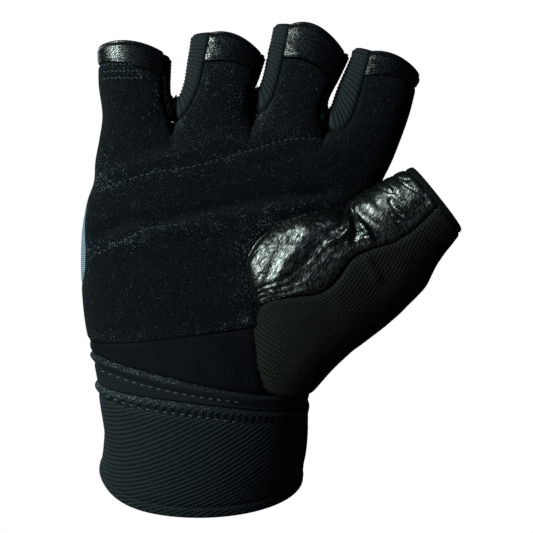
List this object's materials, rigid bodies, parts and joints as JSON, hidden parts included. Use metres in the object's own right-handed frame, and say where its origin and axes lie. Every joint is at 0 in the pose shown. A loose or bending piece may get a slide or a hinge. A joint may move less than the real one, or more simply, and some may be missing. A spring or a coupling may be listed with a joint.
{
  "type": "weightlifting glove",
  "caption": "Fingerless right-hand weightlifting glove with a suede palm, knit finger sides, leather and mesh thumb and wound wrist wrap.",
  "frame": {"origin": "centre of the wrist opening, where the hand goes in", "axes": "+Z from the wrist towards the fingertips, the palm faces -Y, the thumb points to +X"},
  "size_m": [0.1358, 0.0732, 0.1777],
  "materials": {
    "suede": "napped black suede",
    "smooth_leather": "smooth black leather with a soft shine",
    "shiny_leather": "wrinkled shiny black leather",
    "rib_knit": "cross-ribbed black knit",
    "black_stretch": "smooth black stretch fabric",
    "grey_stretch": "finely ribbed blue-grey stretch fabric",
    "woven_mesh": "black woven mesh",
    "binding": "plain black binding tape",
    "twill_elastic": "black twill-ribbed elastic"
  },
  "bodies": {
    "root": {"palm_panel": "suede", "finger_hem_little": "smooth_leather", "finger_hem_ring": "smooth_leather", "finger_hem_middle": "smooth_leather", "finger_hem_index": "smooth_leather", "fourchette_little_ring": "rib_knit", "fourchette_ring_middle": "rib_knit", "fourchette_middle_index": "rib_knit", "finger_back_panel": "black_stretch", "hand_back_panel": "grey_stretch", "wrist_gusset": "black_stretch", "thumb_patch": "shiny_leather", "thumb_panel": "woven_mesh", "thumb_rim": "binding", "wrist_wrap_inner": "twill_elastic", "wrist_wrap_outer": "twill_elastic", "closure_tab": "binding"}
  },
  "joints": []
}
